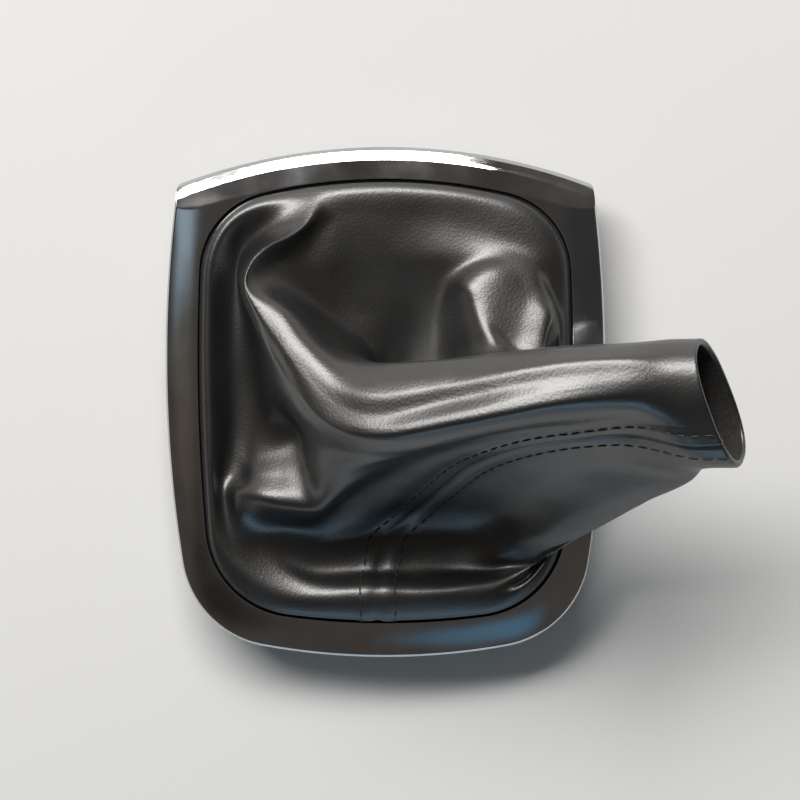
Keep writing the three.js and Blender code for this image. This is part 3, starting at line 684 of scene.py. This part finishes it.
def from_seam(rows, s):
    """Distance of each point from the seam, along its row: negative on one side of it."""
    steps = np.linalg.norm(np.roll(rows, -1, axis=1) - rows, axis=-1)
    seam = SEAM_RIB * s.columns
    ahead = np.cumsum(np.roll(steps, -seam, axis=1), axis=1)
    ahead = np.concatenate([np.zeros((len(rows), 1)), ahead[:, :-1]], axis=1)
    whole = steps.sum(axis=1, keepdims=True)
    signed = np.where(ahead > whole / 2, ahead - whole, ahead)
    return np.roll(signed, seam, axis=1)


def relief(rows, alongs, s):
    """Height of the seam and of the leather's slight unevenness above the plain surface."""
    across = np.abs(from_seam(rows, s))
    groove = -s.seam_groove * np.exp(-((across / (s.seam_groove_width / 2)) ** 2))
    pad = s.seam_pad * np.clip((s.stitch_offset + PAD_STEP - across) / PAD_STEP, 0, 1)
    dent = -DENT_DEPTH * s.seam_pad * np.exp(-(((across - s.stitch_offset) / DENT_WIDTH) ** 2))
    waves = np.array([
        sum(share * noise.noise(Vector(p) * scale) for scale, share in WAVE_SIZES)
        for p in rows.reshape(-1, 3)
    ]).reshape(rows.shape[:2])
    seam_shows = np.clip(alongs / SEAM_GROWTH, 0, 1)[:, None]
    waves_show = np.clip((alongs - WAVE_START) / WAVE_GROWTH, 0, 1)[:, None]
    return (groove + pad + dent) * seam_shows + s.waves * waves * waves_show


def make_leather(surround, s, materials):
    """The leather as a closed shell: outer face, rounded mouth, turned hem, inner face, hem."""
    rows, normals = leather_surface(surround, s)
    back = np.linalg.norm(rows - rows[-1], axis=-1)
    near_mouth = (np.arange(len(rows)) > len(rows) - MOUTH_ROWS)[:, None]
    folded = np.clip((s.mouth_hem - back) / HEM_STEP, 0, 1) * near_mouth
    thick = (s.thickness + s.hem_fold * folded)[..., None]
    inner = rows - normals * thick
    between = (rows[-1] + inner[-1]) / 2
    outward = (rows[-1] - inner[-1]) / 2
    onward = heading(MOUTH_TURN, MOUTH_LIFT) * thick[-1] / 2
    turns = np.linspace(0, math.pi, MOUTH_STEPS + 1)[1:-1]
    edge = [between + outward * math.cos(turn) + onward * math.sin(turn) for turn in turns]
    loop = np.concatenate([rows, edge, inner[::-1]])
    per_column, columns = loop.shape[:2]
    vertices = loop.transpose(1, 0, 2).reshape(-1, 3) + [0, middle(surround), 0]
    obj = new_object("leather", vertices, ring_faces(columns, per_column), materials)
    shown = len(rows) + len(edge)
    slots = [int(shown <= j < per_column - 1) for j in range(per_column)]
    obj.data.polygons.foreach_set("material_index", slots * columns)
    return obj


def stitch_guide(surround, s, lift):
    """Points and normals of the two rows of stitches, from the hem to the mouth."""
    rows, normals = leather_surface(surround, s)
    across = from_seam(rows, s)
    beside = np.arange(-STITCH_RIBS * s.columns, STITCH_RIBS * s.columns + 1)
    columns = (SEAM_RIB * s.columns + beside) % rows.shape[1]
    lines = []
    for offset in (-s.stitch_offset, s.stitch_offset):
        points, ups = [], []
        for j in range(HEM_STEPS, len(rows) - 1):
            spots = across[j, columns]
            at = [np.interp(offset, spots, rows[j, columns, i]) for i in range(3)]
            up = [np.interp(offset, spots, normals[j, columns, i]) for i in range(3)]
            points.append(np.array(at) + np.array(up) * lift)
            ups.append(up)
        lines.append((np.array(points) + [0, middle(surround), 0], np.array(ups)))
    return lines


def wire(tree, *wires):
    """Links nodes: each wire is a node and its output, then a node and its input."""
    for source, output, target, input_name in wires:
        tree.links.new(source.outputs[output], target.inputs[input_name])


def stitch_tree():
    """Geometry nodes that set stitches along the edges of a guide."""
    tree = bpy.data.node_groups.new("stitches", "GeometryNodeTree")
    face = tree.interface
    face.new_socket("Geometry", in_out="INPUT", socket_type="NodeSocketGeometry")
    sockets = {
        name: face.new_socket(name, in_out="INPUT", socket_type=f"NodeSocket{kind}").identifier
        for name, kind in (
            ("Stitch length", "Float"), ("Stitch pitch", "Float"), ("Thread thickness", "Float"),
            ("Unevenness", "Float"), ("Seed", "Int"), ("Thread", "Material"),
        )
    }
    face.new_socket("Geometry", in_out="OUTPUT", socket_type="NodeSocketGeometry")
    nodes = tree.nodes
    given = nodes.new("NodeGroupInput")
    result = nodes.new("NodeGroupOutput")
    curve = nodes.new("GeometryNodeMeshToCurve")
    spaced = nodes.new("GeometryNodeResampleCurve")
    spaced.mode = "LENGTH"
    up = nodes.new("GeometryNodeInputNamedAttribute")
    up.data_type = "FLOAT_VECTOR"
    up.inputs["Name"].default_value = "up"
    tangent = nodes.new("GeometryNodeInputTangent")
    upright = nodes.new("FunctionNodeAlignRotationToVector")
    upright.axis = "Z"
    along = nodes.new("FunctionNodeAlignRotationToVector")
    along.axis = "X"
    along.pivot_axis = "Z"
    ball = nodes.new("GeometryNodeMeshUVSphere")
    ball.inputs["Segments"].default_value = STITCH_SEGMENTS
    ball.inputs["Rings"].default_value = STITCH_RINGS
    ball.inputs["Radius"].default_value = 0.5
    size = nodes.new("ShaderNodeCombineXYZ")
    shaped = nodes.new("GeometryNodeTransform")
    smooth = nodes.new("GeometryNodeSetShadeSmooth")
    vary = nodes.new("FunctionNodeRandomValue")
    vary.data_type = "FLOAT_VECTOR"
    placed = nodes.new("GeometryNodeInstanceOnPoints")
    nudged = nodes.new("GeometryNodeRotateInstances")
    real = nodes.new("GeometryNodeRealizeInstances")
    painted = nodes.new("GeometryNodeSetMaterial")
    for limit, sign in (("Min", -1.0), ("Max", 1.0)):
        scaled = nodes.new("ShaderNodeVectorMath")
        scaled.operation = "SCALE"
        scaled.inputs[0].default_value = (sign, sign, sign)
        wire(tree, (given, "Unevenness", scaled, "Scale"), (scaled, "Vector", vary, limit))
    wire(
        tree,
        (given, "Geometry", curve, "Mesh"),
        (curve, "Curve", spaced, "Curve"),
        (given, "Stitch pitch", spaced, "Length"),
        (up, "Attribute", upright, "Vector"),
        (upright, "Rotation", along, "Rotation"),
        (tangent, "Tangent", along, "Vector"),
        (given, "Stitch length", size, "X"),
        (given, "Thread thickness", size, "Y"),
        (given, "Thread thickness", size, "Z"),
        (ball, "Mesh", shaped, "Geometry"),
        (size, "Vector", shaped, "Scale"),
        (shaped, "Geometry", smooth, "Geometry"),
        (spaced, "Curve", placed, "Points"),
        (smooth, "Geometry", placed, "Instance"),
        (along, "Rotation", placed, "Rotation"),
        (given, "Seed", vary, "Seed"),
        (placed, "Instances", nudged, "Instances"),
        (vary, "Value", nudged, "Rotation"),
        (nudged, "Instances", real, "Geometry"),
        (real, "Geometry", painted, "Geometry"),
        (given, "Thread", painted, "Material"),
        (painted, "Geometry", result, "Geometry"),
    )
    return tree, sockets


def make_thread(surround, leather, s, material):
    """The stitches beside the seam, as one plain mesh."""
    vertices, edges, ups = [], [], []
    for points, normals in stitch_guide(surround, leather, s.thickness * STITCH_LIFT):
        start = len(vertices)
        vertices += [tuple(p) for p in points]
        ups += [c for n in normals for c in n]
        edges += [(start + i, start + i + 1) for i in range(len(points) - 1)]
    mesh = bpy.data.meshes.new("stitch_guide")
    mesh.from_pydata(vertices, edges, [])
    mesh.attributes.new("up", "FLOAT_VECTOR", "POINT").data.foreach_set("vector", ups)
    guide = bpy.data.objects.new("stitch_guide", mesh)
    bpy.context.scene.collection.objects.link(guide)
    tree, sockets = stitch_tree()
    modifier = guide.modifiers.new("stitches", "NODES")
    modifier.node_group = tree
    for name, value in (
        ("Stitch length", s.stitch), ("Stitch pitch", s.pitch), ("Thread thickness", s.thickness),
        ("Unevenness", STITCH_TURN), ("Seed", s.seed), ("Thread", material),
    ):
        modifier[sockets[name]] = value
    bpy.context.view_layer.update()
    baked = guide.evaluated_get(bpy.context.evaluated_depsgraph_get())
    made = bpy.data.meshes.new_from_object(baked)
    made.name = "seam_thread"
    thread = bpy.data.objects.new("seam_thread", made)
    bpy.context.scene.collection.objects.link(thread)
    bpy.data.objects.remove(guide)
    return thread


# The part of a noise texture's range that most of its values lie in.
NOISE_LOW, NOISE_HIGH = 0.3, 0.7


def new_material(name, roughness, metallic=0.0):
    """A material with its nodes, its links and its main shader."""
    material = bpy.data.materials.new(name)
    material.use_nodes = True
    tree = material.node_tree
    shader = tree.nodes["Principled BSDF"]
    shader.inputs["Roughness"].default_value = roughness
    shader.inputs["Metallic"].default_value = metallic
    return material, tree.nodes, tree.links, shader


def noise_texture(nodes, links, scale, detail=3.0, kind="ShaderNodeTexNoise"):
    """A texture of that scale in object coordinates."""
    place = nodes.new("ShaderNodeTexCoord")
    texture = nodes.new(kind)
    texture.inputs["Scale"].default_value = scale
    if kind == "ShaderNodeTexNoise":
        texture.inputs["Detail"].default_value = detail
    links.new(place.outputs["Object"], texture.inputs["Vector"])
    return texture


def vary_roughness(nodes, links, shader, texture, low, high):
    """Roughness between two values, after a texture."""
    spread = nodes.new("ShaderNodeMapRange")
    spread.inputs["From Min"].default_value = NOISE_LOW
    spread.inputs["From Max"].default_value = NOISE_HIGH
    spread.inputs["To Min"].default_value = low
    spread.inputs["To Max"].default_value = high
    links.new(texture.outputs[0], spread.inputs["Value"])
    links.new(spread.outputs["Result"], shader.inputs["Roughness"])


def vary_colour(nodes, links, shader, texture, dark, light):
    """Base colour between two colours, after a texture."""
    ramp = nodes.new("ShaderNodeValToRGB")
    for element, place, tone in zip(ramp.color_ramp.elements, (NOISE_LOW, NOISE_HIGH), (dark, light)):
        element.position = place
        element.color = (*tone, 1)
    links.new(texture.outputs[0], ramp.inputs["Fac"])
    links.new(ramp.outputs["Color"], shader.inputs["Base Color"])


def add_bump(nodes, links, shader, height, distance, strength):
    """Bump of that depth in metres, after a height."""
    bump = nodes.new("ShaderNodeBump")
    bump.inputs["Distance"].default_value = distance
    bump.inputs["Strength"].default_value = strength
    links.new(height, bump.inputs["Height"])
    if shader.inputs["Normal"].is_linked:
        links.new(shader.inputs["Normal"].links[0].from_socket, bump.inputs["Normal"])
    links.new(bump.outputs["Normal"], shader.inputs["Normal"])


def chrome_material():
    """Polished plating with faint smears."""
    material, nodes, links, shader = new_material("chrome", 0.08, 1.0)
    smears = noise_texture(nodes, links, 60, 5)
    vary_roughness(nodes, links, shader, smears, 0.05, 0.14)
    vary_colour(nodes, links, shader, smears, (0.5, 0.51, 0.53), (0.6, 0.61, 0.63))
    ripple = noise_texture(nodes, links, 35, 1)
    add_bump(nodes, links, shader, ripple.outputs[0], 0.0004, 0.3)
    return material


def plastic_material():
    """Black moulded plastic with a fine matt texture."""
    material, nodes, links, shader = new_material("black_plastic", 0.55)
    texture = noise_texture(nodes, links, 2500, 2)
    vary_roughness(nodes, links, shader, texture, 0.45, 0.65)
    vary_colour(nodes, links, shader, texture, (0.012, 0.012, 0.013), (0.022, 0.022, 0.024))
    add_bump(nodes, links, shader, texture.outputs[0], 0.00005, 0.5)
    return material


def leather_material():
    """Black leather with a fine pebbled grain and a soft sheen."""
    material, nodes, links, shader = new_material("leather", 0.38)
    shader.inputs["Specular IOR Level"].default_value = 1.0
    shader.inputs["Coat Weight"].default_value = 0.35
    shader.inputs["Coat Roughness"].default_value = 0.3
    tone = noise_texture(nodes, links, 45, 3)
    vary_roughness(nodes, links, shader, tone, 0.37, 0.43)
    vary_colour(nodes, links, shader, tone, (0.004, 0.004, 0.0042), (0.009, 0.0085, 0.0085))
    pebbles = noise_texture(nodes, links, 1300, kind="ShaderNodeTexVoronoi")
    add_bump(nodes, links, shader, pebbles.outputs[0], 0.00012, 0.3)
    pores = noise_texture(nodes, links, 2600, 2)
    add_bump(nodes, links, shader, pores.outputs[0], 0.00006, 0.4)
    return material


def lining_material():
    """The rough underside of the leather."""
    material, nodes, links, shader = new_material("lining", 0.9)
    nap = noise_texture(nodes, links, 900, 4)
    vary_colour(nodes, links, shader, nap, (0.012, 0.011, 0.011), (0.03, 0.028, 0.027))
    add_bump(nodes, links, shader, nap.outputs[0], 0.0002, 0.6)
    return material


def thread_material():
    """Black twisted thread."""
    material, nodes, links, shader = new_material("thread", 0.6)
    fibres = noise_texture(nodes, links, 5000, 2)
    vary_colour(nodes, links, shader, fibres, (0.008, 0.008, 0.008), (0.03, 0.03, 0.03))
    add_bump(nodes, links, shader, fibres.outputs[0], 0.00005, 0.6)
    return material


def floor_material(tone):
    """A plain pale floor."""
    material, nodes, links, shader = new_material("floor", 0.9)
    texture = noise_texture(nodes, links, 8, 2)
    vary_colour(nodes, links, shader, texture, [c * 0.99 for c in tone], tone)
    shader.inputs["Specular IOR Level"].default_value = 0.1
    return material


def aim(obj, target):
    """Turns a light or camera so that it looks at a point."""
    obj.rotation_euler = (Vector(target) - obj.location).to_track_quat("-Z", "Y").to_euler()


def add_area(name, place, target, size, power, tone):
    """A rectangular light."""
    lamp = bpy.data.lights.new(name, "AREA")
    lamp.shape = "RECTANGLE"
    lamp.size, lamp.size_y = size
    lamp.energy = power
    lamp.color = tone
    obj = bpy.data.objects.new(name, lamp)
    bpy.context.scene.collection.objects.link(obj)
    obj.location = place
    aim(obj, target)


# Lamps: name, place from the surround's middle, width and height, and colour.
LAMPS = (
    ("key", (-0.6, 1.5, 1.42), (2.1, 0.63), (1.0, 0.98, 0.95)),
    ("horizon", (0.0, 1.6, 0.5), (3.2, 0.8), (1.0, 1.0, 1.0)),
    ("fill", (0.1, -1.0, 0.35), (0.9, 0.3), (0.45, 0.75, 1.0)),
)
# What the lamps and the camera look at, from the surround's middle.
LOOK_AT = (0.0041, 0.0016, 0.008)
# Width of the camera's film in millimetres, and the nearest that it sees in metres.
SENSOR, NEAREST = 36, 0.01
# Colour of the room overhead, and its patches: direction, radius on a sphere of one, and colour.
ROOM = (0.075, 0.066, 0.057)
PATCHES = (
    # pale slate-blue one, seen in the left side of the plating
    ((-0.32, 0.05, 0.945), 0.10, (0.40, 0.50, 0.58)),
    # brown one below it
    ((-0.30, -0.09, 0.95), 0.09, (0.12, 0.10, 0.078)),
    # dark one, seen in the left front corner
    ((-0.22, -0.28, 0.93), 0.14, (0.030, 0.026, 0.021)),
    # dark grey one, seen in the right side
    ((0.32, 0.05, 0.95), 0.22, (0.045, 0.044, 0.043)),
    # blue one, seen in the front band
    ((0.10, -0.375, 0.92), 0.09, (0.10, 0.20, 0.28)),
)
# Where a patch ends and where it is full, as shares of its radius.
PATCH_END, PATCH_FULL = 1.4, 0.4


def add_surroundings(nodes, links, background):
    """A dim brown room overhead, with darker, paler and bluer places."""
    place = nodes.new("ShaderNodeTexCoord")
    seen = None
    for direction, radius, tone in PATCHES:
        off = nodes.new("ShaderNodeVectorMath")
        off.operation = "DISTANCE"
        off.inputs[1].default_value = direction
        share = nodes.new("ShaderNodeMapRange")
        share.interpolation_type = "SMOOTHSTEP"
        share.inputs["From Min"].default_value = radius * PATCH_END
        share.inputs["From Max"].default_value = radius * PATCH_FULL
        mix = nodes.new("ShaderNodeMix")
        mix.data_type = "RGBA"
        mix.inputs["A"].default_value = (*ROOM, 1)
        mix.inputs["B"].default_value = (*tone, 1)
        links.new(place.outputs["Generated"], off.inputs[0])
        links.new(off.outputs["Value"], share.inputs["Value"])
        links.new(share.outputs["Result"], mix.inputs["Factor"])
        if seen:
            links.new(seen, mix.inputs["A"])
        seen = mix.outputs["Result"]
    links.new(seen, background.inputs["Color"])


class GAITER_OT_surround(bpy.types.Operator):
    """Build the chrome surround"""

    bl_idname = "gaiter.surround"
    bl_label = "Chrome surround"

    def execute(self, context):
        """Makes the surround and sets it on its body."""
        obj = make_surround(context.scene.gaiter_surround, chrome_material())
        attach(obj, BODY)
        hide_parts("chrome_surround")
        return {"FINISHED"}


class GAITER_OT_inner_frame(bpy.types.Operator):
    """Finish the inner frame"""

    bl_idname = "gaiter.inner_frame"
    bl_label = "Inner frame"

    def execute(self, context):
        """Gives the inner frame its plastic."""
        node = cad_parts["retaining_frame"]
        node.data.materials.clear()
        node.data.materials.append(plastic_material())
        return {"FINISHED"}


class GAITER_OT_leather(bpy.types.Operator):
    """Build the leather sleeve"""

    bl_idname = "gaiter.leather"
    bl_label = "Leather sleeve"

    def execute(self, context):
        """Makes the leather and sets it on its body."""
        s = context.scene.gaiter_leather
        obj = make_leather(context.scene.gaiter_surround, s, [leather_material(), lining_material()])
        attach(obj, BODY)
        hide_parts("leather_gaiter")
        return {"FINISHED"}


class GAITER_OT_thread(bpy.types.Operator):
    """Build the seam's stitches"""

    bl_idname = "gaiter.thread"
    bl_label = "Seam stitches"

    def execute(self, context):
        """Makes the stitches along the seam."""
        scene = context.scene
        obj = make_thread(scene.gaiter_surround, scene.gaiter_leather, scene.gaiter_thread, thread_material())
        if not obj.data.polygons:
            raise RuntimeError("the stitches came out empty")
        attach(obj, BODY)
        return {"FINISHED"}


class GAITER_OT_stage(bpy.types.Operator):
    """Build the floor, the lights and the camera"""

    bl_idname = "gaiter.stage"
    bl_label = "Stage"

    def execute(self, context):
        """Makes the stage around the part."""
        scene = context.scene
        s = scene.gaiter_stage
        origin = Vector((0, middle(scene.gaiter_surround), 0))
        centre = origin + Vector(LOOK_AT)
        half = s.floor_size / 2
        corners = [(-half, -half), (half, -half), (half, half), (-half, half)]
        floor = new_object(
            "floor", [(x, y + origin.y, s.floor_height) for x, y in corners], [(0, 1, 2, 3)],
            [floor_material(s.floor_colour)],
        )
        powers = (s.key_power, s.horizon_power, s.fill_power)
        for (name, place, size, tone), power in zip(LAMPS, powers):
            add_area(name, origin + Vector(place), centre, size, power, tone)
        world = bpy.data.worlds.new("surroundings")
        world.use_nodes = True
        sky = world.node_tree.nodes["Background"]
        add_surroundings(world.node_tree.nodes, world.node_tree.links, sky)
        sky.inputs["Strength"].default_value = s.world_strength
        scene.world = world
        lens = bpy.data.cameras.new("camera")
        camera = bpy.data.objects.new("camera", lens)
        scene.collection.objects.link(camera)
        camera.location = centre + Vector((0, math.sin(s.tilt), math.cos(s.tilt))) * s.distance
        camera.rotation_euler = (-s.tilt, 0, 0)
        lens.sensor_width = SENSOR
        lens.lens = lens.sensor_width * s.distance / s.field
        lens.clip_start = NEAREST
        scene.camera = camera
        scene.view_settings.view_transform = "Standard"
        return {"FINISHED"}


class GAITER_PT_panel(bpy.types.Panel):
    """Settings and buttons of the gaiter's pieces"""

    bl_idname = "GAITER_PT_panel"
    bl_label = "Gear lever gaiter"
    bl_space_type = "VIEW_3D"
    bl_region_type = "UI"
    bl_category = "Gaiter"

    def draw(self, context):
        """Draws one box of settings for each group, with its button below."""
        scene = context.scene
        for settings, operators in (
            (scene.gaiter_surround, (GAITER_OT_surround, GAITER_OT_inner_frame)),
            (scene.gaiter_leather, (GAITER_OT_leather,)),
            (scene.gaiter_thread, (GAITER_OT_thread,)),
            (scene.gaiter_stage, (GAITER_OT_stage,)),
        ):
            box = self.layout.box()
            for name in settings.__annotations__:
                box.prop(settings, name)
            for operator in operators:
                box.operator(operator.bl_idname)


SETTINGS = {
    "gaiter_surround": SurroundSettings,
    "gaiter_leather": LeatherSettings,
    "gaiter_thread": ThreadSettings,
    "gaiter_stage": StageSettings,
}
OPERATORS = (GAITER_OT_surround, GAITER_OT_inner_frame, GAITER_OT_leather, GAITER_OT_thread, GAITER_OT_stage)


def register():
    """Adds the settings, the operators and the panel."""
    for name, group in SETTINGS.items():
        bpy.utils.register_class(group)
        setattr(bpy.types.Scene, name, PointerProperty(type=group))
    for cls in (*OPERATORS, GAITER_PT_panel):
        bpy.utils.register_class(cls)


def unregister():
    """Takes away the panel, the operators and the settings."""
    for cls in (GAITER_PT_panel, *reversed(OPERATORS)):
        bpy.utils.unregister_class(cls)
    for name, group in reversed(SETTINGS.items()):
        delattr(bpy.types.Scene, name)
        bpy.utils.unregister_class(group)


def main():
    """Builds every piece and the stage."""
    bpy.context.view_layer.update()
    register()
    bpy.ops.gaiter.surround()
    bpy.ops.gaiter.inner_frame()
    bpy.ops.gaiter.leather()
    bpy.ops.gaiter.thread()
    bpy.ops.gaiter.stage()


if __name__ == "__main__":
    main()
